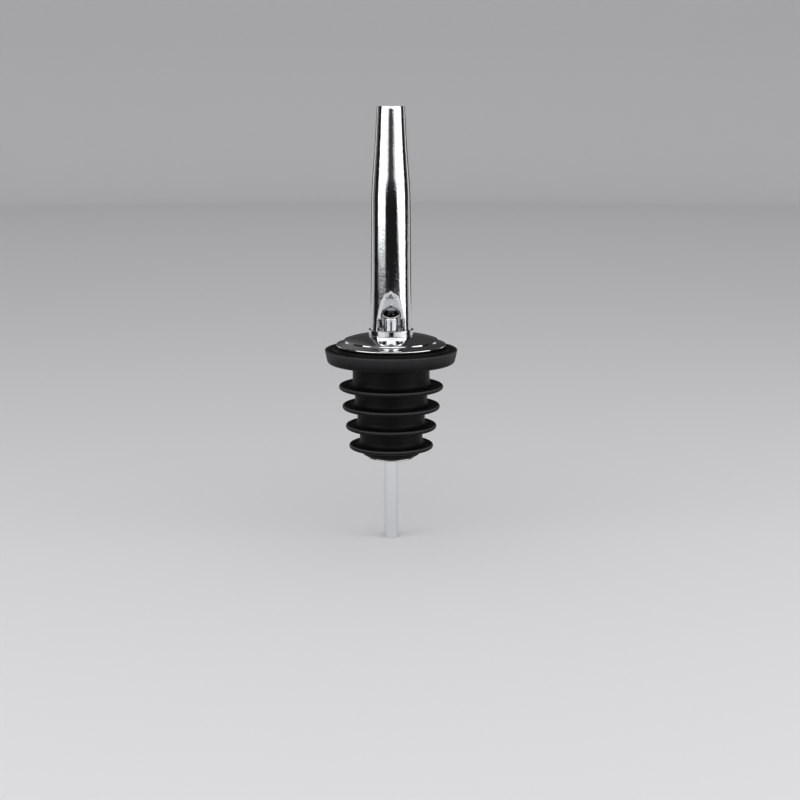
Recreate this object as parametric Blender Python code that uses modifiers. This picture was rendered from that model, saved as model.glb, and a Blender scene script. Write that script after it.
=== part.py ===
"""A free-flow bottle pourer: chromed metalwork that turns in a moulded rubber stopper.

The origin is on the spout's axis, in the plane of the flange's underside, which rests on the bottle's lip.
+Z runs up the spout, and the scoop with the vent tube's mouth faces -Y. Lengths are in millimetres until
the points are made.
"""

import math

import bmesh
import bpy

MM = 0.001
FIT_GAP = 0.3
TURNED_STEPS = 36

# Rubber stopper: a flange, then a tapering core that carries round fins.
FLANGE_THICKNESS = 3.5
FLANGE_RADIUS = 17.0
FLANGE_DRAFT = 0.75
FLANGE_CORNER = 0.9
LAND_RADIUS = 14.9
LAND_HEIGHT = 0.6
STOPPER_BOTTOM = -24.0
CORE_RADIUS = 9.9
CORE_STEP = 0.6
FIN_COUNT = 4
FIN_RADIUS = 13.4
FIN_STEP = 0.85
FIN_THICKNESS = 1.1
FIN_PITCH = 5.15
FIRST_FIN_TOP = -5.7
FIN_ROOT_FILLET = 1.2

# Metalwork: a pressed cap, a collar, the spout and the tubes that run down through the stopper.
CAP_RADIUS = 14.05
CAP_RISE = 2.7
CAP_FULLNESS = 2.9
CAP_WALL = 0.4
CAP_RIM_HEIGHT = 0.35
SPOUT_WALL = 0.35
SPOUT_BOTTOM = 7.0
SPOUT_TIP = 64.6
SPOUT_RADIUS = 5.3
SPOUT_TIP_RADIUS = 3.5
SPOUT_STRAIGHT_TIP = 1.6
COLLAR_TOP = 8.7
COLLAR_WALL = 0.25
COLLAR_BOTTOM = 4.7
COLLAR_FOOT = 0.25
SHANK_WALL = 0.35
SHANK_LIP = 0.8
SHANK_LIP_HEIGHT = 0.6

# Scoop: a hollow pressed into the front of the spout's foot, deep and flat at the collar, fading out above.
SCOOP_HEIGHT = 9.8
SCOOP_DEPTH = 5.3
SCOOP_HALF_WIDTH = 4.2
SCOOP_FLAT_HEIGHT = 0.52
SCOOP_FLAT_WIDTH = 0.35

# Vent tube: stands in the scoop and carries air down past the stopper.
VENT_RADIUS = 1.8
VENT_WALL = 0.3
VENT_SET_FORWARD = 2.9
VENT_MOUTH_HEIGHT = 13.2
VENT_MOUTH_RADIUS = 2.2
VENT_MOUTH_SLOPE = 0.45
VENT_BOTTOM = -45.4
SOLDER_BOTTOM = 7.3
SOLDER_THICKNESS = 0.8

FLANGE_TOP = FLANGE_THICKNESS
LAND_TOP = FLANGE_TOP + LAND_HEIGHT
BORE_RADIUS = SPOUT_RADIUS + FIT_GAP
CAP_RIM_BOTTOM = LAND_TOP + FIT_GAP
COLLAR_INNER = SPOUT_RADIUS + FIT_GAP
COLLAR_OUTER = COLLAR_INNER + COLLAR_WALL


def clear_scene():
    for obj in list(bpy.data.objects):
        bpy.data.objects.remove(obj, do_unlink=True)


def make_collection(name):
    collection = bpy.data.collections.new(name)
    bpy.context.scene.collection.children.link(collection)
    return collection


def make_material(name, colour, metallic, roughness):
    material = bpy.data.materials.new(name)
    material.use_nodes = True
    shader = material.node_tree.nodes["Principled BSDF"]
    shader.inputs["Base Color"].default_value = (*colour, 1.0)
    shader.inputs["Metallic"].default_value = metallic
    shader.inputs["Roughness"].default_value = roughness
    return material


def add_object(name, data, material, collection, parent):
    obj = bpy.data.objects.new(name, data)
    data.materials.append(material)
    collection.objects.link(obj)
    obj.parent = parent
    return obj


def smooth_step(value):
    value = min(max(value, 0.0), 1.0)
    return value * value * (3.0 - 2.0 * value)


def arc(centre_radius, centre_height, radius, start_degrees, end_degrees, count):
    """Points along an arc of a turned profile, counted from its start to its end."""
    points = []
    for index in range(count):
        angle = math.radians(start_degrees + (end_degrees - start_degrees) * index / (count - 1))
        points.append((centre_radius + radius * math.cos(angle), centre_height + radius * math.sin(angle)))
    return points


def turned_part(name, profile, material, collection, parent):
    """A closed profile of (radius, height) points, outer side first and downwards, turned about Z."""
    mesh = bpy.data.meshes.new(name)
    outline = bmesh.new()
    points = [outline.verts.new((radius * MM, 0.0, height * MM)) for radius, height in profile]
    for index, point in enumerate(points):
        outline.edges.new((point, points[(index + 1) % len(points)]))
    outline.to_mesh(mesh)
    outline.free()
    obj = add_object(name, mesh, material, collection, parent)
    turning = obj.modifiers.new("turning", "SCREW")
    turning.axis = "Z"
    turning.steps = TURNED_STEPS
    turning.render_steps = TURNED_STEPS
    turning.use_merge_vertices = True
    turning.merge_threshold = 0.00001
    turning.use_smooth_shade = True
    return obj


def tube_part(name, rings, wall, material, collection, parent):
    """An open tube lofted through rings of points, from the bottom up, with its wall made inwards."""
    mesh = bpy.data.meshes.new(name)
    shell = bmesh.new()
    loops = [[shell.verts.new((x * MM, y * MM, z * MM)) for x, y, z in ring] for ring in rings]
    around = len(rings[0])
    for lower, upper in zip(loops, loops[1:]):
        for index in range(around):
            after = (index + 1) % around
            shell.faces.new((lower[index], lower[after], upper[after], upper[index]))
    shell.to_mesh(mesh)
    shell.free()
    mesh.shade_smooth()
    obj = add_object(name, mesh, material, collection, parent)
    walls = obj.modifiers.new("wall", "SOLIDIFY")
    walls.thickness = wall * MM
    walls.offset = -1.0
    return obj


def fin_profile(index):
    """One fin, from the fillet on top of its root, round its edge and back to the core below it."""
    top = FIRST_FIN_TOP - index * FIN_PITCH
    radius = FIN_RADIUS - index * FIN_STEP
    core_above = CORE_RADIUS - index * CORE_STEP
    half = FIN_THICKNESS / 2
    fillet = FIN_ROOT_FILLET
    points = arc(core_above + fillet, top + fillet, fillet, 180, 270, 4)
    points += arc(radius - half, top - half, half, 90, -90, 5)
    points.append((core_above - CORE_STEP, top - FIN_THICKNESS))
    return points


def make_rubber_stopper(material, collection, parent):
    side_bottom = FLANGE_RADIUS - FLANGE_DRAFT
    corner = FLANGE_CORNER
    top_edge = 0.2
    lead_in = 0.6
    last_core = CORE_RADIUS - FIN_COUNT * CORE_STEP
    profile = [(LAND_RADIUS, LAND_TOP), (LAND_RADIUS + 0.5 * LAND_HEIGHT, FLANGE_TOP)]
    profile += [(FLANGE_RADIUS - top_edge, FLANGE_TOP), (FLANGE_RADIUS, FLANGE_TOP - top_edge)]
    profile += arc(side_bottom - corner, corner, corner, 0, -90, 4)
    profile.append((CORE_RADIUS, 0.0))
    for index in range(FIN_COUNT):
        profile += fin_profile(index)
    profile += [(last_core, STOPPER_BOTTOM + lead_in), (last_core - lead_in, STOPPER_BOTTOM)]
    profile += [(BORE_RADIUS, STOPPER_BOTTOM), (BORE_RADIUS, LAND_TOP)]
    return turned_part("rubber_stopper", profile, material, collection, parent)


def cap_height(radius):
    """Height of the cap's upper surface: nearly flat round the collar, then ever steeper towards the rim."""
    drop = CAP_RISE * (radius / CAP_RADIUS) ** CAP_FULLNESS
    return CAP_RIM_BOTTOM + CAP_RIM_HEIGHT + CAP_RISE - drop


def make_dome_cap(material, collection, parent):
    hole = COLLAR_OUTER + FIT_GAP
    spread = 9
    radii = [hole + (CAP_RADIUS - hole) * index / (spread - 1) for index in range(spread)]
    profile = [(radius, cap_height(radius)) for radius in radii]
    profile.append((CAP_RADIUS, CAP_RIM_BOTTOM))
    inside = [radius for radius in reversed(radii) if radius < CAP_RADIUS - 1.5 * CAP_WALL]
    profile.append((CAP_RADIUS - 2 * CAP_WALL, CAP_RIM_BOTTOM))
    profile += [(radius, cap_height(radius) - CAP_WALL) for radius in inside]
    return turned_part("dome_cap", profile, material, collection, parent)


def make_ferrule_ring(material, collection, parent):
    """A sleeve that joins the spout to the shank, with a small foot where it stands on the cap."""
    foot_bottom = cap_height(COLLAR_OUTER + FIT_GAP) + FIT_GAP
    foot_radius = COLLAR_OUTER + COLLAR_FOOT
    edge = 0.1
    profile = [(COLLAR_OUTER - edge, COLLAR_TOP), (COLLAR_OUTER, COLLAR_TOP - edge)]
    profile += [(COLLAR_OUTER, foot_bottom + 2 * COLLAR_FOOT), (foot_radius, foot_bottom + 0.5 * COLLAR_FOOT)]
    profile += [(foot_radius, foot_bottom), (COLLAR_OUTER, foot_bottom)]
    profile += [(COLLAR_OUTER, COLLAR_BOTTOM), (COLLAR_INNER, COLLAR_BOTTOM), (COLLAR_INNER, COLLAR_TOP)]
    return turned_part("ferrule_ring", profile, material, collection, parent)


def make_shank_tube(material, collection, parent):
    """The tube through the stopper; its lower end is rolled outwards and keeps the stopper on."""
    top = SPOUT_BOTTOM - FIT_GAP
    lip_top = STOPPER_BOTTOM - FIT_GAP
    lip_bottom = lip_top - SHANK_LIP_HEIGHT
    half = SHANK_LIP_HEIGHT / 2
    inner = SPOUT_RADIUS - SHANK_WALL
    profile = [(SPOUT_RADIUS, top), (SPOUT_RADIUS, lip_top)]
    profile += arc(SPOUT_RADIUS + SHANK_LIP - half, lip_top - half, half, 90, -90, 5)
    profile += [(inner, lip_bottom), (inner, top)]
    return turned_part("shank_tube", profile, material, collection, parent)


def spout_radius(height):
    """Outer radius of the spout: nearly straight, a soft shoulder, then a swaged taper to the tip."""
    stations = (
        (SPOUT_BOTTOM, SPOUT_RADIUS),
        (18.7, 5.13),
        (41.0, 4.92),
        (45.5, 4.76),
        (49.5, 4.40),
        (61.6, 3.58),
        (SPOUT_TIP - SPOUT_STRAIGHT_TIP, SPOUT_TIP_RADIUS),
        (SPOUT_TIP, SPOUT_TIP_RADIUS),
    )
    slopes = [0.0]
    for before, here, after in zip(stations, stations[1:], stations[2:]):
        slopes.append((after[1] - before[1]) / (after[0] - before[0]))
    slopes.append(0.0)
    for index in range(len(stations) - 1):
        low, high = stations[index], stations[index + 1]
        if height <= high[0]:
            break
    span = high[0] - low[0]
    t = (height - low[0]) / span
    rise = smooth_step(t)
    bend = t * (1 - t) * ((1 - t) * slopes[index] - t * slopes[index + 1]) * span
    return low[1] + (high[1] - low[1]) * rise + bend


def scoop_depth(x, height):
    """How far the scoop pushes the wall back at this distance from its middle and this height."""
    up = min((height - COLLAR_TOP) / SCOOP_HEIGHT, 1.0)
    across = abs(x) / (SCOOP_HALF_WIDTH * math.sqrt(1.0 - 0.9 * max(up, 0.0) ** 2))
    fade_up = 1.0 - smooth_step((up - SCOOP_FLAT_HEIGHT) / (1.0 - SCOOP_FLAT_HEIGHT))
    fade_across = 1.0 - smooth_step((across - SCOOP_FLAT_WIDTH) / (1.0 - SCOOP_FLAT_WIDTH))
    return SCOOP_DEPTH * fade_up * fade_across


def spout_ring(height, around):
    """One ring of the spout's outer surface. Its points stand closer together at the front, over the scoop."""
    crowding = 0.35
    radius = spout_radius(height)
    ring = []
    for index in range(around):
        turn = 2 * math.pi * index / around
        turn -= crowding * math.sin(turn)
        x = radius * math.sin(turn)
        y = -radius * math.cos(turn)
        if y < 0:
            y += scoop_depth(x, height)
        ring.append((x, y, height))
    return ring


def make_spout_tube(material, collection, parent):
    around = 44
    scoop_top = COLLAR_TOP + SCOOP_HEIGHT
    scoop_rings = 12
    heights = [SPOUT_BOTTOM + (scoop_top - SPOUT_BOTTOM) * index / scoop_rings for index in range(scoop_rings + 1)]
    heights += [24.0, 32.0, 38.0, 41.0, 43.0, 45.0, 47.0, 49.0, 52.0, 57.0, 61.0]
    heights += [SPOUT_TIP - SPOUT_STRAIGHT_TIP, SPOUT_TIP]
    rings = [spout_ring(height, around) for height in heights]
    return tube_part("spout_tube", rings, SPOUT_WALL, material, collection, parent)


def make_vent_tube(material, collection, parent):
    """Straight breather tube with a flared mouth that slopes down towards the front."""
    around = 20
    flare = VENT_MOUTH_RADIUS - VENT_RADIUS
    # (height, radius, share of the mouth's slope)
    stations = [(VENT_BOTTOM, VENT_RADIUS, 0.0), (-20.0, VENT_RADIUS, 0.0), (SPOUT_BOTTOM, VENT_RADIUS, 0.0)]
    stations.append((VENT_MOUTH_HEIGHT - 3.2 * flare, VENT_RADIUS, 0.4))
    stations.append((VENT_MOUTH_HEIGHT - 1.2 * flare, VENT_RADIUS + 0.35 * flare, 0.8))
    stations.append((VENT_MOUTH_HEIGHT, VENT_MOUTH_RADIUS, 1.0))
    rings = []
    for height, radius, slope in stations:
        ring = []
        for index in range(around):
            turn = 2 * math.pi * index / around
            x = radius * math.sin(turn)
            y = -radius * math.cos(turn)
            ring.append((x, y - VENT_SET_FORWARD, height + slope * VENT_MOUTH_SLOPE * y))
        rings.append(ring)
    return tube_part("vent_tube", rings, VENT_WALL, material, collection, parent)


def solder_outline():
    """Outline of the solder, seen from above: the collar's bore in front and the scoop's wall behind."""
    front_radius = COLLAR_INNER - FIT_GAP
    middle_height = SOLDER_BOTTOM + SOLDER_THICKNESS / 2
    reach = 3.3
    steps = 12
    slope_step = 0.01

    def wall(x):
        return -math.sqrt(SPOUT_RADIUS**2 - x * x) + scoop_depth(x, middle_height)

    back = []
    for index in range(steps + 1):
        x = reach - 2 * reach * index / steps
        slope = (wall(x + slope_step) - wall(x - slope_step)) / (2 * slope_step)
        length = math.hypot(slope, 1.0)
        back.append((x + FIT_GAP * slope / length, wall(x) - FIT_GAP / length))
    side = math.atan2(abs(back[-1][0]), abs(back[-1][1]))
    front = []
    for index in range(1, steps):
        turn = -side + 2 * side * index / steps
        front.append((front_radius * math.sin(turn), -front_radius * math.cos(turn)))
    return back + front


def make_vent_solder(material, collection, parent):
    """Solder that closes the foot of the scoop round the vent tube."""
    curve = bpy.data.curves.new("vent_solder", "CURVE")
    curve.dimensions = "2D"
    curve.fill_mode = "BOTH"
    curve.extrude = SOLDER_THICKNESS / 2 * MM
    hole_radius = VENT_RADIUS + FIT_GAP
    hole_points = 20
    hole = []
    for index in range(hole_points):
        turn = 2 * math.pi * index / hole_points
        hole.append((hole_radius * math.sin(turn), -VENT_SET_FORWARD - hole_radius * math.cos(turn)))
    for outline in (solder_outline(), hole):
        spline = curve.splines.new("POLY")
        spline.points.add(len(outline) - 1)
        for point, (x, y) in zip(spline.points, outline):
            point.co = (x * MM, y * MM, 0.0, 1.0)
        spline.use_cyclic_u = True
    obj = add_object("vent_solder", curve, material, collection, parent)
    obj.location.z = (SOLDER_BOTTOM + SOLDER_THICKNESS / 2) * MM
    return obj


def main():
    clear_scene()
    collection = make_collection("liquor_pour_spout")
    turning_axis = bpy.data.objects.new("spout_turning_axis", None)
    collection.objects.link(turning_axis)

    chrome = (0.80, 0.81, 0.83)
    steel = (0.62, 0.63, 0.65)
    tin = (0.55, 0.56, 0.57)
    rubber = (0.015, 0.015, 0.016)
    make_rubber_stopper(make_material("stopper_rubber", rubber, 0.0, 0.55), collection, None)
    make_shank_tube(make_material("shank_steel", steel, 1.0, 0.25), collection, turning_axis)
    make_dome_cap(make_material("cap_chrome", chrome, 1.0, 0.06), collection, turning_axis)
    make_ferrule_ring(make_material("ferrule_chrome", chrome, 1.0, 0.08), collection, turning_axis)
    make_spout_tube(make_material("spout_chrome", chrome, 1.0, 0.07), collection, turning_axis)
    make_vent_tube(make_material("vent_steel", steel, 1.0, 0.12), collection, turning_axis)
    make_vent_solder(make_material("solder_tin", tin, 1.0, 0.35), collection, turning_axis)


main()
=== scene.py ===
"""The looks of a bottle pour spout: chromed metalwork in a black rubber stopper, on a pale sweep.

Every visible piece is modelled again here, finely enough for polished metal, inside the frame's own sizes.
Lengths are in metres, as in the frame; MM turns a maker's millimetres into them.
"""

import math

import bmesh
import bpy
from mathutils import Matrix, Vector


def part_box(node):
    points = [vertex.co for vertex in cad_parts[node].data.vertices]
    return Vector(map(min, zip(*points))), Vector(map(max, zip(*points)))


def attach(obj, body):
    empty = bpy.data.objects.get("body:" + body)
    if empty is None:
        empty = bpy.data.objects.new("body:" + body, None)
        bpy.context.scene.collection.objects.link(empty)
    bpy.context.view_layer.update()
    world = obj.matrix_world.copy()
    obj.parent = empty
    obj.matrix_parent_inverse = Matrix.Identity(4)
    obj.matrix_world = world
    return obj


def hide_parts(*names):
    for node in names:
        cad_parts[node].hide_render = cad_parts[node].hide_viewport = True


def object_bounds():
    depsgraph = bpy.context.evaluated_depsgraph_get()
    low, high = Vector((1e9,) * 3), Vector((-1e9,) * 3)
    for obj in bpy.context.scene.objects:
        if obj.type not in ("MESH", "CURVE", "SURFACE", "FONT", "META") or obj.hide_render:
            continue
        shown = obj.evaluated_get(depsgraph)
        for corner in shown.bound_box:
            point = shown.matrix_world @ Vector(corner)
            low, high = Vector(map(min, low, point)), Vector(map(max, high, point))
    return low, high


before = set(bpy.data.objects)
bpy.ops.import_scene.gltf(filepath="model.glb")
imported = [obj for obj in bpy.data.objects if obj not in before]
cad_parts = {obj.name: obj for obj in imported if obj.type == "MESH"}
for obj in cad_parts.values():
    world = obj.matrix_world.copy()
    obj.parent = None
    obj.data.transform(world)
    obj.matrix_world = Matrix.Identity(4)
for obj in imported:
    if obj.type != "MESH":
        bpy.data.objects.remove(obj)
cad_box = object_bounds()

MM = 0.001

# Sizes read from the frame.
STOPPER_LOW, STOPPER_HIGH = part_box("rubber_stopper")
SPOUT_LOW, SPOUT_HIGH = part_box("spout_tube")
CAP_LOW, CAP_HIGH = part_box("dome_cap")
COLLAR_LOW, COLLAR_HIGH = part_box("ferrule_ring")
SHANK_LOW, SHANK_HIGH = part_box("shank_tube")
VENT_LOW, VENT_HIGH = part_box("vent_tube")

# Stopper: flange, land under the cap, and round fins on a tapering core.
FLANGE_RADIUS = STOPPER_HIGH.x
LAND_TOP = STOPPER_HIGH.z
FLANGE_TOP = 3.5 * MM
LAND_RADIUS = 14.9 * MM
FLANGE_DRAFT = 0.75 * MM
CORE_RADIUS = 9.9 * MM
CORE_STEP = 0.6 * MM
FIN_COUNT = 4
FIN_RADIUS = 13.4 * MM
FIN_STEP = 0.85 * MM
FIN_THICKNESS = 1.1 * MM
FIN_PITCH = 5.15 * MM
FIRST_FIN_TOP = -5.7 * MM

# Metalwork round the spout's foot.
SPOUT_RADIUS = 5.3 * MM
SPOUT_WALL = 0.35 * MM
TIP_RADIUS = 3.5 * MM
CAP_RADIUS = CAP_HIGH.x
CAP_RIM_HEIGHT = 0.35 * MM
CAP_RISE = 2.3 * MM
CAP_FULLNESS = 2.9
CAP_STEP = 0.4 * MM
CAP_STEP_RADIUS = 11.9 * MM
CAP_STEP_WIDTH = 0.36 * MM
CAP_WALL = 0.4 * MM
COLLAR_RADIUS = 5.75 * MM
COLLAR_TOP = COLLAR_HIGH.z
BORE_RADIUS = 5.6 * MM
SHANK_RADIUS = 5.3 * MM
SHANK_WALL = 0.35 * MM

# Scoop pressed into the spout's foot: a rounded trough that slopes inwards, in it an arched pocket that
# goes round the back of the vent tube, and below the vent tube's mouth a wider hollow on both its sides.
SCOOP_APEX = 18.5 * MM
SCOOP_SLOPE = 0.3
SCOOP_BROW = 0.35 * MM
SCOOP_BROW_HEIGHT = 1.0 * MM
SCOOP_HALF_WIDTH = 4.7 * MM
SCOOP_LEAST_WIDTH = 0.9 * MM
SCOOP_LEAST_DROP = 0.6 * MM
SCOOP_FULLNESS = 2.1
SCOOP_ROUNDNESS = 0.55
SCOOP_SHOULDER = 0.45 * MM
POCKET_RADIUS = 2.5 * MM
POCKET_TOP = 15.15 * MM
POCKET_ROOF_ROUND = 1.47 * MM
POCKET_EDGE = 0.3 * MM
HOLLOW_TOP = 12.0 * MM
HOLLOW_HALF_WIDTH = 3.5 * MM
HOLLOW_BACK = -2.0 * MM
HOLLOW_EDGE = 0.4 * MM

# Vent tube that stands in the scoop.
VENT_RADIUS = 1.8 * MM
VENT_WALL = 0.28 * MM
VENT_FORWARD = 2.9 * MM
VENT_MOUTH_RADIUS = 2.2 * MM
VENT_MOUTH_HEIGHT = 13.2 * MM
VENT_MOUTH_SLOPE = 0.45

# Outer radius of the spout at its heights: nearly straight, a soft shoulder, then a swaged taper to the tip.
SPOUT_STATIONS = (
    (SPOUT_LOW.z, SPOUT_RADIUS),
    (18.7 * MM, 5.13 * MM),
    (41.0 * MM, 4.92 * MM),
    (45.5 * MM, 4.74 * MM),
    (49.5 * MM, 4.43 * MM),
    (55.5 * MM, 4.00 * MM),
    (SPOUT_HIGH.z, TIP_RADIUS),
)

TURN_STEPS = 160
FINE_TURN_STEPS = 192

CHROME = (0.83, 0.84, 0.85)
STEEL = (0.72, 0.72, 0.73)
TIN = (0.5, 0.5, 0.5)
# Near black, painted inside the vent tube as shade.
PAINTED_SHADE_BORE = (0.02, 0.02, 0.02)
BLACK_CARD = 0.01


def smooth_step(value):
    value = min(max(value, 0.0), 1.0)
    return value * value * (3.0 - 2.0 * value)


def link(name, bm, material):
    """Closes a bmesh into a named, smooth-shaded object at the origin, with its place in its mesh."""
    mesh = bpy.data.meshes.new(name)
    bm.to_mesh(mesh)
    bm.free()
    mesh.shade_smooth()
    mesh.materials.append(material)
    obj = bpy.data.objects.new(name, mesh)
    bpy.context.scene.collection.objects.link(obj)
    return obj


def add_piece(obj, body, node):
    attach(obj, body)
    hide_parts(node)


def rounded(corners, closed=True, arc_points=7, hold=0.06 * MM):
    """A profile through (radius, height, rounding) corners.

    Each rounding is an arc. Where there is room, a point on both its sides holds the flat next to it flat.
    """
    longest_share = 0.48
    count = len(corners)
    profile = []
    for index, (x, z, rounding) in enumerate(corners):
        here = Vector((x, z))
        at_end = not closed and index in (0, count - 1)
        if at_end or rounding <= 0:
            profile.append((x, z))
            continue
        before = Vector(corners[index - 1][:2]) - here
        after = Vector(corners[(index + 1) % count][:2]) - here
        half_angle = before.angle(after) / 2
        reach = rounding / math.tan(half_angle)
        reach = min(reach, longest_share * before.length, longest_share * after.length)
        radius = reach * math.tan(half_angle)
        inwards = (before.normalized() + after.normalized()).normalized()
        middle = here + inwards * (radius / math.sin(half_angle))
        start = here + before.normalized() * reach
        end = here + after.normalized() * reach
        if before.length > reach + 3 * hold:
            profile.append(tuple(start + before.normalized() * hold))
        sweep = (start - middle).angle_signed(end - middle)
        for step in range(arc_points):
            turn = Matrix.Rotation(-sweep * step / (arc_points - 1), 2)
            profile.append(tuple(middle + turn @ (start - middle)))
        if after.length > reach + 3 * hold:
            profile.append(tuple(end + after.normalized() * hold))
    return profile


def spun(profile, closed, steps=TURN_STEPS):
    """A bmesh turned about Z from a profile of (radius, height) points."""
    bm = bmesh.new()
    points = [bm.verts.new((radius, 0.0, height)) for radius, height in profile]
    pairs = list(zip(points, points[1:]))
    if closed:
        pairs.append((points[-1], points[0]))
    edges = [bm.edges.new(pair) for pair in pairs]
    bmesh.ops.spin(
        bm,
        geom=points + edges,
        cent=(0.0, 0.0, 0.0),
        axis=(0.0, 0.0, 1.0),
        angle=2 * math.pi,
        steps=steps,
        use_merge=True,
        use_duplicate=False,
    )
    bmesh.ops.recalc_face_normals(bm, faces=bm.faces)
    return bm


def outward(bm):
    """Turns an open tube's faces away from the axis."""
    facing = 0.0
    for face in bm.faces:
        middle = face.calc_center_median()
        facing += face.calc_area() * (face.normal.x * middle.x + face.normal.y * middle.y)
    if facing < 0:
        bmesh.ops.reverse_faces(bm, faces=bm.faces)


def give_wall(obj, thickness, edge_round):
    """A wall made inwards, with its rims rounded over."""
    wall = obj.modifiers.new("wall", "SOLIDIFY")
    wall.thickness = thickness
    wall.offset = -1.0
    rim = obj.modifiers.new("rim", "BEVEL")
    rim.width = edge_round
    rim.segments = 3
    rim.limit_method = "ANGLE"
    rim.angle_limit = math.radians(55)


# ---------------------------------------------------------------- materials


def new_group(name, inputs, outputs):
    group = bpy.data.node_groups.new(name, "ShaderNodeTree")
    for socket, kind, default in inputs:
        made = group.interface.new_socket(name=socket, in_out="INPUT", socket_type=kind)
        if default is not None:
            made.default_value = default
    for socket, kind in outputs:
        group.interface.new_socket(name=socket, in_out="OUTPUT", socket_type=kind)
    return group, group.nodes.new("NodeGroupInput"), group.nodes.new("NodeGroupOutput")


def metal_grain_group():
    """Grain left by drawing and polishing, faint rubs and finger marks: a height and a roughness."""
    group, given, result = new_group(
        "metal_grain",
        [
            ("Vector", "NodeSocketVector", None),
            ("Peel Size", "NodeSocketFloat", 0.0004),
            ("Peel", "NodeSocketFloat", 1.0),
            ("Scratches", "NodeSocketFloat", 0.3),
            ("Base Roughness", "NodeSocketFloat", 0.06),
            ("Smudge", "NodeSocketFloat", 0.05),
        ],
        [("Height", "NodeSocketFloat"), ("Roughness", "NodeSocketFloat")],
    )
    nodes, links = group.nodes, group.links
    inverse = nodes.new("ShaderNodeMath")
    inverse.operation = "DIVIDE"
    inverse.inputs[0].default_value = 1.0
    links.new(given.outputs["Peel Size"], inverse.inputs[1])
    peel = nodes.new("ShaderNodeTexNoise")
    peel.inputs["Detail"].default_value = 2.0
    links.new(given.outputs["Vector"], peel.inputs["Vector"])
    links.new(inverse.outputs[0], peel.inputs["Scale"])
    peel_height = nodes.new("ShaderNodeMath")
    peel_height.operation = "MULTIPLY"
    links.new(peel.outputs["Fac"], peel_height.inputs[0])
    links.new(given.outputs["Peel"], peel_height.inputs[1])

    stretch = nodes.new("ShaderNodeMapping")
    stretch.inputs["Scale"].default_value = (9000.0, 9000.0, 350.0)
    links.new(given.outputs["Vector"], stretch.inputs["Vector"])
    scratch = nodes.new("ShaderNodeTexNoise")
    scratch.inputs["Scale"].default_value = 1.0
    scratch.inputs["Detail"].default_value = 3.0
    links.new(stretch.outputs["Vector"], scratch.inputs["Vector"])
    scratch_height = nodes.new("ShaderNodeMath")
    scratch_height.operation = "MULTIPLY"
    links.new(scratch.outputs["Fac"], scratch_height.inputs[0])
    links.new(given.outputs["Scratches"], scratch_height.inputs[1])
    height = nodes.new("ShaderNodeMath")
    height.operation = "ADD"
    links.new(peel_height.outputs[0], height.inputs[0])
    links.new(scratch_height.outputs[0], height.inputs[1])
    links.new(height.outputs[0], result.inputs["Height"])

    smear = nodes.new("ShaderNodeTexNoise")
    smear.inputs["Scale"].default_value = 260.0
    smear.inputs["Detail"].default_value = 5.0
    smear.inputs["Roughness"].default_value = 0.65
    links.new(given.outputs["Vector"], smear.inputs["Vector"])
    spread = nodes.new("ShaderNodeMapRange")
    spread.inputs["From Min"].default_value = 0.5
    spread.inputs["From Max"].default_value = 0.75
    spread.inputs["To Min"].default_value = 0.0
    spread.inputs["To Max"].default_value = 1.0
    links.new(smear.outputs["Fac"], spread.inputs["Value"])
    smudge = nodes.new("ShaderNodeMath")
    smudge.operation = "MULTIPLY_ADD"
    links.new(spread.outputs["Result"], smudge.inputs[0])
    links.new(given.outputs["Smudge"], smudge.inputs[1])
    links.new(given.outputs["Base Roughness"], smudge.inputs[2])
    links.new(smudge.outputs[0], result.inputs["Roughness"])
    return group


METAL_GRAIN = metal_grain_group()


def metal(
    name, colour, roughness, peel, scratches, smudge, peel_size=0.5 * MM, depth=0.008 * MM, bore=None
):
    """Polished or plain metal. A bore is a colour painted inside a tube as shade."""
    material = bpy.data.materials.new(name)
    material.use_nodes = True
    nodes, links = material.node_tree.nodes, material.node_tree.links
    shader = nodes["Principled BSDF"]
    shader.inputs["Base Color"].default_value = (*colour, 1.0)
    shader.inputs["Metallic"].default_value = 1.0
    coordinates = nodes.new("ShaderNodeTexCoord")
    grain = nodes.new("ShaderNodeGroup")
    grain.node_tree = METAL_GRAIN
    grain.inputs["Peel Size"].default_value = peel_size
    grain.inputs["Peel"].default_value = peel
    grain.inputs["Scratches"].default_value = scratches
    grain.inputs["Base Roughness"].default_value = roughness
    grain.inputs["Smudge"].default_value = smudge
    bump = nodes.new("ShaderNodeBump")
    bump.inputs["Distance"].default_value = depth
    links.new(coordinates.outputs["Object"], grain.inputs["Vector"])
    links.new(grain.outputs["Height"], bump.inputs["Height"])
    links.new(grain.outputs["Roughness"], shader.inputs["Roughness"])
    links.new(bump.outputs["Normal"], shader.inputs["Normal"])
    if bore is not None:
        paint_bore_shade(material, colour, bore)
    return material


def paint_bore_shade(material, colour, bore):
    """Paints shade into a tube's inside, where a vertex attribute marks it, and makes the tube duller on its
    cut_rim.
    """
    rim_roughness = 0.3
    nodes, links = material.node_tree.nodes, material.node_tree.links
    shader = nodes["Principled BSDF"]
    marked = nodes.new("ShaderNodeAttribute")
    marked.attribute_name = "bore_painted_shade"
    # Mixes the metal's colour with the painted shade of the bore.
    finish = nodes.new("ShaderNodeMix")
    finish.data_type = "RGBA"
    finish.inputs["A"].default_value = (*colour, 1.0)
    finish.inputs["B"].default_value = (*bore, 1.0)
    links.new(marked.outputs["Fac"], finish.inputs["Factor"])
    links.new(finish.outputs["Result"], shader.inputs["Base Color"])
    rim = nodes.new("ShaderNodeAttribute")
    rim.attribute_name = "cut_rim"
    duller = nodes.new("ShaderNodeMath")
    duller.operation = "MULTIPLY_ADD"
    duller.inputs[1].default_value = rim_roughness
    polished = shader.inputs["Roughness"].links[0].from_socket
    links.new(rim.outputs["Fac"], duller.inputs[0])
    links.new(polished, duller.inputs[2])
    links.new(duller.outputs[0], shader.inputs["Roughness"])


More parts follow.
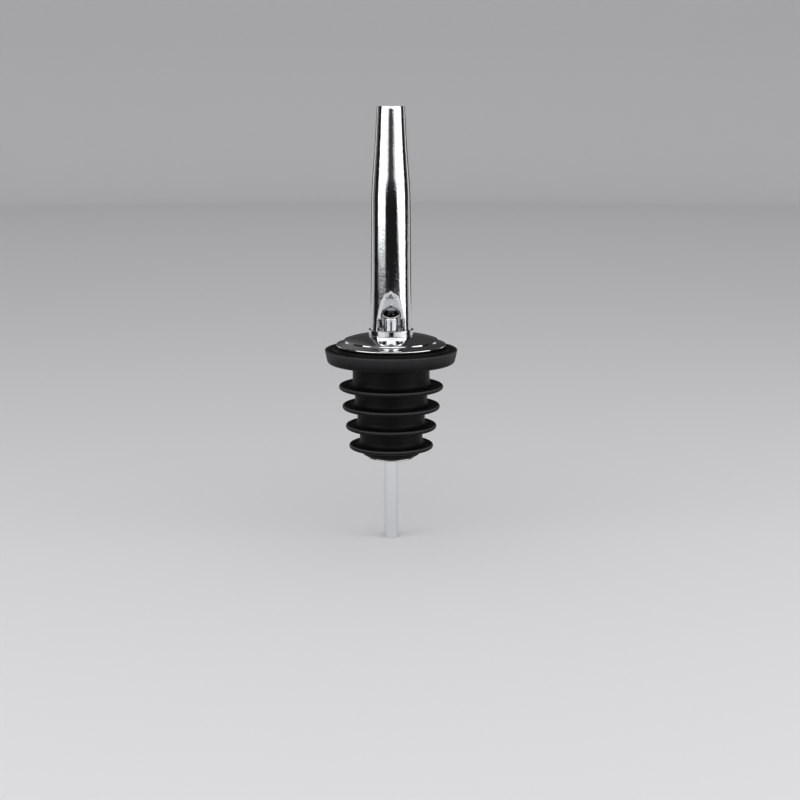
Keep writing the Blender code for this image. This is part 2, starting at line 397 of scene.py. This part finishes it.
def rubber(name):
    """Black moulded rubber: matt and faintly mottled, with a highlight painted paler on its outer edges."""
    material = bpy.data.materials.new(name)
    material.use_nodes = True
    nodes, links = material.node_tree.nodes, material.node_tree.links
    shader = nodes["Principled BSDF"]
    shader.inputs["Specular IOR Level"].default_value = 0.12
    coordinates = nodes.new("ShaderNodeTexCoord")
    mottle = nodes.new("ShaderNodeTexNoise")
    mottle.inputs["Scale"].default_value = 400.0
    mottle.inputs["Detail"].default_value = 6.0
    links.new(coordinates.outputs["Object"], mottle.inputs["Vector"])
    colour = nodes.new("ShaderNodeValToRGB")
    colour.color_ramp.elements[0].position = 0.35
    colour.color_ramp.elements[0].color = (0.002, 0.002, 0.0022, 1.0)
    colour.color_ramp.elements[1].position = 0.7
    colour.color_ramp.elements[1].color = (0.0045, 0.0045, 0.0048, 1.0)
    links.new(mottle.outputs["Fac"], colour.inputs["Fac"])
    # Painted highlight: the outer edges marked on the mesh are coloured paler.
    highlight_mask = nodes.new("ShaderNodeAttribute")
    highlight_mask.attribute_name = "painted_edge_highlight"
    highlighted_colour = nodes.new("ShaderNodeMix")
    highlighted_colour.data_type = "RGBA"
    highlighted_colour.inputs["B"].default_value = (0.045, 0.045, 0.047, 1.0)
    links.new(highlight_mask.outputs["Fac"], highlighted_colour.inputs["Factor"])
    links.new(colour.outputs["Color"], highlighted_colour.inputs["A"])
    links.new(highlighted_colour.outputs["Result"], shader.inputs["Base Color"])
    gloss = nodes.new("ShaderNodeMapRange")
    gloss.inputs["To Min"].default_value = 0.38
    gloss.inputs["To Max"].default_value = 0.58
    links.new(mottle.outputs["Fac"], gloss.inputs["Value"])
    links.new(gloss.outputs["Result"], shader.inputs["Roughness"])
    pores = nodes.new("ShaderNodeTexNoise")
    pores.inputs["Scale"].default_value = 5000.0
    pores.inputs["Detail"].default_value = 2.0
    links.new(coordinates.outputs["Object"], pores.inputs["Vector"])
    bump = nodes.new("ShaderNodeBump")
    bump.inputs["Distance"].default_value = 0.01 * MM
    links.new(pores.outputs["Fac"], bump.inputs["Height"])
    links.new(bump.outputs["Normal"], shader.inputs["Normal"])
    return material


# ---------------------------------------------------------------- stopper


def make_stopper():
    """The rubber moulding, as one turned profile of corners and their roundings."""
    fillet = 1.2 * MM
    fin_round = 0.5 * MM
    crease = 0.3 * MM
    land_draft = 0.3 * MM
    flange_foot_round = 0.9 * MM
    bore_edge = 0.1 * MM
    corners = [
        (LAND_RADIUS, LAND_TOP, 0.15 * MM),
        (LAND_RADIUS + land_draft, FLANGE_TOP, 0.2 * MM),
        (FLANGE_RADIUS, FLANGE_TOP, 0.18 * MM),
        (FLANGE_RADIUS - FLANGE_DRAFT, 0.0, flange_foot_round),
        (CORE_RADIUS, 0.0, crease),
    ]
    core = CORE_RADIUS
    for index in range(FIN_COUNT):
        top = FIRST_FIN_TOP - index * FIN_PITCH
        radius = FIN_RADIUS - index * FIN_STEP
        corners.append((core, top, fillet))
        corners.append((radius, top, fin_round))
        corners.append((radius, top - FIN_THICKNESS, fin_round))
        core -= CORE_STEP
        corners.append((core, top - FIN_THICKNESS, crease))
    corners.append((core, STOPPER_LOW.z, 0.7 * MM))
    corners.append((BORE_RADIUS, STOPPER_LOW.z, bore_edge))
    corners.append((BORE_RADIUS, LAND_TOP, bore_edge))
    bm = spun(rounded(corners), closed=True)
    obj = link("moulded_stopper", bm, rubber("black_rubber"))
    # Marks where the painted edge highlight goes.
    paint_edge_highlights(obj)
    add_piece(obj, "stopper", "rubber_stopper")


def paint_edge_highlights(obj):
    """Marks the outer edges of the flange and fins, where a highlight is painted paler into the rubber's
    colour.
    """
    edge = obj.data.attributes.new("painted_edge_highlight", "FLOAT", "POINT")
    reach = 0.45 * MM
    flange_inset = 0.05 * MM
    fin_inset = 0.15 * MM
    rims = [(FLANGE_RADIUS - flange_inset, FLANGE_TOP - flange_inset)]
    for index in range(FIN_COUNT):
        fin_radius = FIN_RADIUS - index * FIN_STEP
        fin_top = FIRST_FIN_TOP - index * FIN_PITCH
        rims.append((fin_radius - fin_inset, fin_top - fin_inset))
    for vertex, value in zip(obj.data.vertices, edge.data):
        radius = math.hypot(vertex.co.x, vertex.co.y)
        near = min(math.hypot(radius - r, vertex.co.z - z) for r, z in rims)
        value.value = 1.0 - smooth_step(near / reach)


# ---------------------------------------------------------------- metalwork


def cap_surface(radius):
    """Height of the cap's polished top: ever steeper towards the rim, with a small pressed step near it."""
    step = CAP_STEP * (1.0 - smooth_step((radius - CAP_STEP_RADIUS) / CAP_STEP_WIDTH))
    return CAP_LOW.z + CAP_RIM_HEIGHT + CAP_RISE * (1.0 - (radius / CAP_RADIUS) ** CAP_FULLNESS) + step


def cap_radii(first, last):
    """Radii for the cap's profile, closer together over its step."""
    coarse, fine = 0.2 * MM, 0.03 * MM
    least_gap = 0.05 * MM
    radius = first
    while radius < last - least_gap:
        yield radius
        over_step = abs(radius - CAP_STEP_RADIUS - CAP_STEP_WIDTH / 2) < CAP_STEP_WIDTH
        radius += fine if over_step else coarse
    yield last


def make_cap(material):
    """The pressed cap: its polished top, the bead of its rim, and its inner side."""
    hole = SPOUT_RADIUS
    top_reach = 0.4 * MM
    rim_width = 0.8 * MM
    inner_reach = 0.85 * MM
    profile = [(radius, cap_surface(radius)) for radius in cap_radii(hole, CAP_RADIUS - top_reach)]
    bead = 0.27 * MM
    bead_points = 9
    bead_start, bead_end = 62.0, -90.0
    for index in range(bead_points):
        angle = math.radians(bead_start + (bead_end - bead_start) * index / (bead_points - 1))
        radius = CAP_RADIUS - bead + bead * math.cos(angle)
        profile.append((radius, CAP_LOW.z + bead + bead * math.sin(angle)))
    profile.append((CAP_RADIUS - rim_width, CAP_LOW.z))
    inner_radii = reversed(list(cap_radii(hole, CAP_RADIUS - inner_reach)))
    profile += [(radius, cap_surface(radius) - CAP_WALL) for radius in inner_radii]
    obj = link("cap", spun(profile, closed=True, steps=FINE_TURN_STEPS), material)
    add_piece(obj, "metalwork", "dome_cap")


def make_collar(material):
    """The collar: a sleeve round the spout, whose small foot runs out on the cap."""
    foot = cap_surface(COLLAR_RADIUS)
    foot_width = 0.3 * MM
    foot_sink = 0.03 * MM
    fit = 0.03 * MM
    top_edge = 0.09 * MM
    low_edge = 0.1 * MM
    corners = [
        (COLLAR_RADIUS, COLLAR_TOP, top_edge),
        (COLLAR_RADIUS, foot, 0.22 * MM),
        (COLLAR_RADIUS + foot_width, foot - foot_sink, 0.0),
        (COLLAR_RADIUS, foot - foot_width, 0.0),
        (COLLAR_RADIUS, COLLAR_LOW.z, low_edge),
        (SPOUT_RADIUS + fit, COLLAR_LOW.z, low_edge),
        (SPOUT_RADIUS + fit, COLLAR_TOP, top_edge),
    ]
    obj = link("collar", spun(rounded(corners), closed=True), material)
    add_piece(obj, "metalwork", "ferrule_ring")


def spout_radius(height):
    """Outer radius of the spout, along a smooth curve through its stations."""
    stations = SPOUT_STATIONS
    slopes = [0.0]
    for before, after in zip(stations, stations[2:] + stations[-1:]):
        slopes.append((after[1] - before[1]) / (after[0] - before[0]))
    index = 0
    while index < len(stations) - 2 and height > stations[index + 1][0]:
        index += 1
    low, high = stations[index], stations[index + 1]
    span = high[0] - low[0]
    t = min(max((height - low[0]) / span, 0.0), 1.0)
    bend = t * (1 - t) * ((1 - t) * slopes[index] - t * slopes[index + 1]) * span
    return low[1] + (high[1] - low[1]) * smooth_step(t) + bend


def front_wall(x, height):
    """How far back the spout's front stands here: the round tube, the scoop, or what is sunk in it."""
    radius = spout_radius(height)
    tube = -math.sqrt(max(radius**2 - x * x, 0.0))
    below_apex = SCOOP_APEX - max(height, COLLAR_TOP)
    up = 1.0 - below_apex / (SCOOP_APEX - COLLAR_TOP)
    half_width = max(SCOOP_HALF_WIDTH * max(1.0 - up * up, 0.0) ** SCOOP_ROUNDNESS, SCOOP_LEAST_WIDTH)
    brow = SCOOP_BROW * (1.0 - math.exp(-max(below_apex, 0.0) / SCOOP_BROW_HEIGHT))
    depth = SCOOP_SLOPE * below_apex + brow
    drop = max(depth, SCOOP_LEAST_DROP) * (abs(x) / half_width) ** SCOOP_FULLNESS
    trough = -radius + depth - drop
    share = min(max(0.5 + 0.5 * (trough - tube) / SCOOP_SHOULDER, 0.0), 1.0)
    wall = tube + (trough - tube) * share + SCOOP_SHOULDER * share * (1.0 - share)
    if abs(x) < POCKET_RADIUS:
        roof = POCKET_TOP - x * x / (2 * POCKET_ROOF_ROUND)
        pocket = math.sqrt(POCKET_RADIUS**2 - x * x) - VENT_FORWARD
        wall += smooth_step((roof - height) / POCKET_EDGE) * max(pocket - wall, 0.0)
    hollow = smooth_step((HOLLOW_TOP - height) / HOLLOW_EDGE)
    hollow *= smooth_step((HOLLOW_HALF_WIDTH - abs(x)) / HOLLOW_EDGE)
    return wall + hollow * max(HOLLOW_BACK - wall, 0.0)


def spout_heights():
    """Heights of the spout's rings: close together in the scoop, and closest at its pocket's roof."""
    coarse, middling, fine = 0.7 * MM, 0.22 * MM, 0.1 * MM
    height = SPOUT_LOW.z
    while height < SPOUT_HIGH.z - 0.5 * MM:
        yield height
        if HOLLOW_TOP - HOLLOW_EDGE < height < POCKET_TOP + 0.2 * MM:
            height += fine
        elif height < SCOOP_APEX + 1.0 * MM:
            height += middling
        else:
            height += coarse
    yield SPOUT_HIGH.z


def make_spout(material):
    """The spout's tube. Its points stand closer together at the front, over the scoop."""
    crowding = 0.35
    profile = [(spout_radius(height), height) for height in reversed(list(spout_heights()))]
    bm = spun(profile, closed=False, steps=FINE_TURN_STEPS)
    for vertex in bm.verts:
        turn = math.atan2(vertex.co.x, -vertex.co.y)
        turn -= crowding * math.sin(turn)
        radius = spout_radius(vertex.co.z)
        vertex.co.x = radius * math.sin(turn)
        vertex.co.y = -radius * math.cos(turn)
        if vertex.co.y < 0:
            vertex.co.y = front_wall(vertex.co.x, vertex.co.z)
    bm.normal_update()
    outward(bm)
    obj = link("spout", bm, material)
    give_wall(obj, SPOUT_WALL, 0.07 * MM)
    add_piece(obj, "metalwork", "spout_tube")


def make_vent(material):
    """A straight tube whose mouth flares to a thin lip, sheared so that it slopes down to the front."""
    bell = 1.7 * MM
    lip = 0.13 * MM
    low_edge = 0.05 * MM
    halfway = -22.0 * MM
    bore = VENT_RADIUS - VENT_WALL
    flare_steps = 12
    outer_curve, inner_curve = 2.2, 1.6
    dark_start, dark_fade = 0.15 * MM, 0.45 * MM
    rim_start, rim_fade = 0.1 * MM, 0.3 * MM
    outer = []
    inner = []
    for index in range(flare_steps + 1):
        rise = index / flare_steps
        height = VENT_MOUTH_HEIGHT - bell * (1 - rise)
        outer.append((VENT_RADIUS + (VENT_MOUTH_RADIUS - VENT_RADIUS) * rise**outer_curve, height))
        inner.append((bore + (VENT_MOUTH_RADIUS - lip - bore) * rise**inner_curve, height))
    profile = [(VENT_RADIUS - low_edge, VENT_LOW.z), (VENT_RADIUS, VENT_LOW.z + low_edge)]
    profile += [(VENT_RADIUS, VENT_LOW.z + 6 * low_edge), (VENT_RADIUS, halfway)]
    profile += outer
    profile.append((VENT_MOUTH_RADIUS - 0.5 * lip, VENT_MOUTH_HEIGHT + 0.4 * lip))
    profile += reversed(inner)
    profile += [(bore, halfway), (bore, VENT_LOW.z)]
    bm = spun(profile, closed=True, steps=96)
    for vertex in bm.verts:
        share = smooth_step((vertex.co.z - VENT_MOUTH_HEIGHT + 2 * bell) / (2 * bell))
        vertex.co.z += share * VENT_MOUTH_SLOPE * vertex.co.y
    bm.normal_update()
    # Painted shade: marks the inside below the mouth, which is coloured dark.
    inside = bm.verts.layers.float.new("bore_painted_shade")
    rim = bm.verts.layers.float.new("cut_rim")
    for vertex in bm.verts:
        across = math.hypot(vertex.co.x, vertex.co.y)
        heading = (vertex.normal.x * vertex.co.x + vertex.normal.y * vertex.co.y) / across
        below_mouth = VENT_MOUTH_HEIGHT + VENT_MOUTH_SLOPE * vertex.co.y - vertex.co.z
        if heading < -0.3:
            vertex[inside] = smooth_step((below_mouth - dark_start) / dark_fade)
        if heading < 0.9:
            vertex[rim] = 1.0 - smooth_step((below_mouth - rim_start) / rim_fade)
    bmesh.ops.translate(bm, verts=bm.verts, vec=(0.0, -VENT_FORWARD, 0.0))
    obj = link("vent_pipe", bm, material)
    add_piece(obj, "metalwork", "vent_tube")


def make_shank(material):
    """The tube through the stopper, with its foot rolled outwards."""
    lip = SHANK_HIGH.x
    lip_height = 0.6 * MM
    lip_round = 0.28 * MM
    top_edge = 0.1 * MM
    bore = SHANK_RADIUS - SHANK_WALL
    corners = [
        (SHANK_RADIUS, SHANK_HIGH.z, top_edge),
        (SHANK_RADIUS, SHANK_LOW.z + lip_height, 0.15 * MM),
        (lip, SHANK_LOW.z + lip_height, lip_round),
        (lip, SHANK_LOW.z, lip_round),
        (bore, SHANK_LOW.z, 0.3 * MM),
        (bore, SHANK_HIGH.z, top_edge),
    ]
    obj = link("shank", spun(rounded(corners), closed=True, steps=128), material)
    add_piece(obj, "metalwork", "shank_tube")


def make_solder(material):
    """Solder that closes the scoop's foot: it creeps up the vent tube and up the walls around it."""
    around = 96
    low, high = 7.3 * MM, 8.0 * MM
    sink = 0.1 * MM
    creep = 0.22 * MM
    bm = bmesh.new()

    def reach(direction):
        """Distance from the vent tube's axis to the scoop's wall or the collar's bore."""
        step = 0.05 * MM
        distance = VENT_RADIUS
        while distance < 2 * SPOUT_RADIUS:
            x = direction.x * distance
            y = direction.y * distance - VENT_FORWARD
            if math.hypot(x, y) > SPOUT_RADIUS or y > front_wall(x, high):
                break
            distance += step
        return distance + sink

    shares = [0.0, 0.15, 0.35, 0.65, 0.85, 1.0]
    turns = [2 * math.pi * index / around for index in range(around)]
    directions = [Vector((math.sin(turn), -math.cos(turn))) for turn in turns]
    reaches = [reach(direction) for direction in directions]

    def ring(share, level):
        points = []
        for direction, far in zip(directions, reaches):
            near = VENT_RADIUS - sink
            distance = near + (far - near) * share
            x = direction.x * distance
            y = direction.y * distance - VENT_FORWARD
            points.append(bm.verts.new((x, y, level)))
        return [bm.edges.new((points[index], points[(index + 1) % around])) for index in range(around)]

    rings = [ring(share, high + creep * (2 * share - 1) ** 4) for share in shares]
    rings += [ring(1.0, low), ring(0.0, low)]
    for index, edges in enumerate(rings):
        bmesh.ops.bridge_loops(bm, edges=edges + rings[(index + 1) % len(rings)])
    bmesh.ops.recalc_face_normals(bm, faces=bm.faces)
    obj = link("solder", bm, material)
    add_piece(obj, "metalwork", "vent_solder")


# ---------------------------------------------------------------- stage


def pale_paint(name, colour, roughness):
    material = bpy.data.materials.new(name)
    material.use_nodes = True
    shader = material.node_tree.nodes["Principled BSDF"]
    shader.inputs["Base Color"].default_value = (*colour, 1.0)
    shader.inputs["Roughness"].default_value = roughness
    shader.inputs["Specular IOR Level"].default_value = 0.2
    return material


def turned_backdrop(name, corners, material):
    bm = spun(rounded(corners, closed=False, arc_points=24, hold=0.01), closed=False, steps=96)
    bmesh.ops.remove_doubles(bm, verts=bm.verts, dist=0.00001)
    bmesh.ops.recalc_face_normals(bm, faces=bm.faces)
    obj = link(name, bm, material)
    return obj


def make_sweep():
    """A pale floor that curves up into a pale wall all the way round. The metal doesn't see the wall."""
    gap = 0.02 * MM
    floor = cad_box[0].z - gap
    floor_radius, foot_radius, foot_curve = 1.1, 1.5, 0.4
    wall_radius, wall_height = 1.6, 0.75
    paint = pale_paint("pale_sweep", (0.70, 0.70, 0.71), 0.8)
    turned_backdrop("sweep_floor", [(0.0, floor, 0.0), (floor_radius, floor, 0.0)], paint)
    wall_corners = [
        (floor_radius, floor, 0.0),
        (foot_radius, floor, foot_curve),
        (wall_radius, floor + wall_height, 0.0),
    ]
    wall = turned_backdrop("sweep_wall", wall_corners, paint)
    wall.visible_glossy = False


def place_round(azimuth, distance, height):
    """A place round the pourer. Azimuth is measured from the camera's side, positive towards +X."""
    turn = math.radians(azimuth)
    return Vector((distance * math.sin(turn), -distance * math.cos(turn), height))


def softbox(name, azimuth, width, low, high, power, distance=0.42):
    """An upright soft light that faces the pourer."""
    light = bpy.data.lights.new(name, "AREA")
    light.shape = "RECTANGLE"
    light.size = width
    light.size_y = high - low
    light.energy = power
    obj = bpy.data.objects.new(name, light)
    bpy.context.scene.collection.objects.link(obj)
    middle = (low + high) / 2
    obj.location = place_round(azimuth, distance, middle)
    aim = Vector((0.0, 0.0, middle)) - obj.location
    obj.rotation_euler = aim.to_track_quat("-Z", "Y").to_euler()
    obj.visible_camera = False


def card(name, azimuth, width, near, low, far, high, shade, taper=1.0):
    """A card that only the metal sees: it keeps the pale room out of the reflections.

    It stands from a low edge at the near distance to a high edge at the far distance. Its high edge is its
    width times the taper.
    """
    side = place_round(azimuth + 90.0, width, 0.0)
    bm = bmesh.new()
    bmesh.ops.create_grid(bm, x_segments=1, y_segments=1, size=0.5)
    for vertex in bm.verts:
        if vertex.co.y < 0:
            vertex.co = place_round(azimuth, near, low) + side * vertex.co.x
        else:
            vertex.co = place_round(azimuth, far, high) + side * vertex.co.x * taper
    obj = link(name, bm, pale_paint(name, (shade, shade, shade), 0.9))
    obj.visible_camera = False
    obj.visible_diffuse = False
    obj.visible_shadow = False


def upright_card(name, azimuth, width, distance, low, high, shade=BLACK_CARD, taper=1.0):
    card(name, azimuth, width, distance, low, distance, high, shade, taper)


def floor_card(name, azimuth, width, near, far):
    """A black card that lies just above the floor."""
    floor = cad_box[0].z
    lift = 0.001
    card(name, azimuth, width, near, floor + lift, far, floor + 2 * lift, BLACK_CARD)


def make_lights():
    """Two tall soft lights at the sides and one in front above them, with cards between and below them."""
    floor = cad_box[0].z
    lights_top = 0.33
    left_light_foot = -0.002
    front_light_foot = 0.082
    softbox("left_softbox", -56.2, 0.36, left_light_foot, lights_top, 0.66)
    softbox("right_softbox", 63.0, 0.41, floor, lights_top, 0.85)
    softbox("front_softbox", 3.0, 0.68, front_light_foot, 0.50, 1.1, distance=0.45)
    upright_card("front_flag", 0.0, 1.0, 0.44, floor, front_light_foot)
    floor_card("near_floor_flag", 2.0, 0.13, 0.20, 0.352)
    floor_card("far_floor_flag", 1.0, 0.46, 0.354, 0.44)
    floor_card("left_floor_flag", -95.0, 0.30, 0.20, 0.44)
    floor_card("right_floor_flag", 99.5, 0.17, 0.20, 0.44)
    upright_card("right_wedge", 37.0, 0.36, 0.40, floor, 0.022, taper=0.12)
    for azimuth in (-138.0, 133.0):
        upright_card("rim_card", azimuth, 0.13, 0.44, floor, 0.14, shade=0.8)
    upright_card("left_low_flag", -55.5, 0.46, 0.43, floor, left_light_foot)
    upright_card("middle_card", 0.0, 0.21, 0.40, 0.088, 0.15, shade=0.08)
    upright_card("shoulder_card", 2.0, 0.54, 0.41, 0.06, 0.112, shade=0.02, taper=0.4)
    upright_card("left_flag", -94.5, 0.235, 0.42, floor, 0.40)
    upright_card("right_flag", 99.5, 0.156, 0.42, floor, 0.40)
    upright_card("back_flag", 180.0, 0.82, 0.46, floor, 0.085, shade=0.07)
    card("cap_card", 0.0, 0.42, near=0.22, low=0.30, far=0.10, high=0.42, shade=0.35)


def make_room():
    """Even pale light from all round, which polished metal sees as a dark room."""
    world = bpy.data.worlds.new("studio")
    bpy.context.scene.world = world
    world.use_nodes = True
    nodes, links = world.node_tree.nodes, world.node_tree.links
    background = nodes["Background"]
    rays = nodes.new("ShaderNodeLightPath")
    shade = nodes.new("ShaderNodeMix")
    shade.data_type = "RGBA"
    shade.inputs["A"].default_value = (0.62, 0.62, 0.63, 1.0)
    direction = nodes.new("ShaderNodeTexCoord")
    sides = nodes.new("ShaderNodeSeparateXYZ")
    leftness = nodes.new("ShaderNodeMapRange")
    leftness.inputs["From Min"].default_value = -0.12
    leftness.inputs["From Max"].default_value = -0.30
    leftness.inputs["To Min"].default_value = 0.045
    leftness.inputs["To Max"].default_value = 0.17
    links.new(direction.outputs["Generated"], sides.inputs["Vector"])
    links.new(sides.outputs["X"], leftness.inputs["Value"])
    links.new(leftness.outputs["Result"], shade.inputs["B"])
    links.new(rays.outputs["Is Glossy Ray"], shade.inputs["Factor"])
    links.new(shade.outputs["Result"], background.inputs["Color"])


def make_camera():
    data = bpy.data.cameras.new("camera")
    data.sensor_width = 36.0
    data.lens = 69.75
    data.clip_start = 0.01
    data.clip_end = 20.0
    camera = bpy.data.objects.new("camera", data)
    bpy.context.scene.collection.objects.link(camera)
    camera.location = (2.28 * MM, -392.2 * MM, 66.4 * MM)
    camera.rotation_euler = (math.radians(90.0 - 11.0), 0.0, 0.0)
    bpy.context.scene.camera = camera


def main():
    make_stopper()
    make_cap(metal("cap_polish", CHROME, roughness=0.035, peel=0.25, scratches=0.05, smudge=0.05))
    make_collar(metal("collar_polish", CHROME, roughness=0.06, peel=0.4, scratches=0.1, smudge=0.06))
    spout_polish = metal(
        "spout_polish", CHROME, roughness=0.036, peel=3.0, scratches=0.3, smudge=0.05, peel_size=0.35 * MM
    )
    make_spout(spout_polish)
    # The vent tube's inside is painted dark as shade.
    vent_polish = metal(
        "vent_polish", CHROME, roughness=0.07, peel=0.5, scratches=0.2, smudge=0.06, bore=PAINTED_SHADE_BORE
    )
    make_vent(vent_polish)
    make_shank(metal("shank_finish", STEEL, roughness=0.22, peel=0.6, scratches=0.6, smudge=0.12))
    solder_finish = metal(
        "solder_finish", TIN, roughness=0.35, peel=2.0, scratches=0.0, smudge=0.1, depth=0.01 * MM
    )
    make_solder(solder_finish)
    make_sweep()
    make_lights()
    make_room()
    make_camera()
    bpy.context.scene.view_settings.view_transform = "Standard"


main()
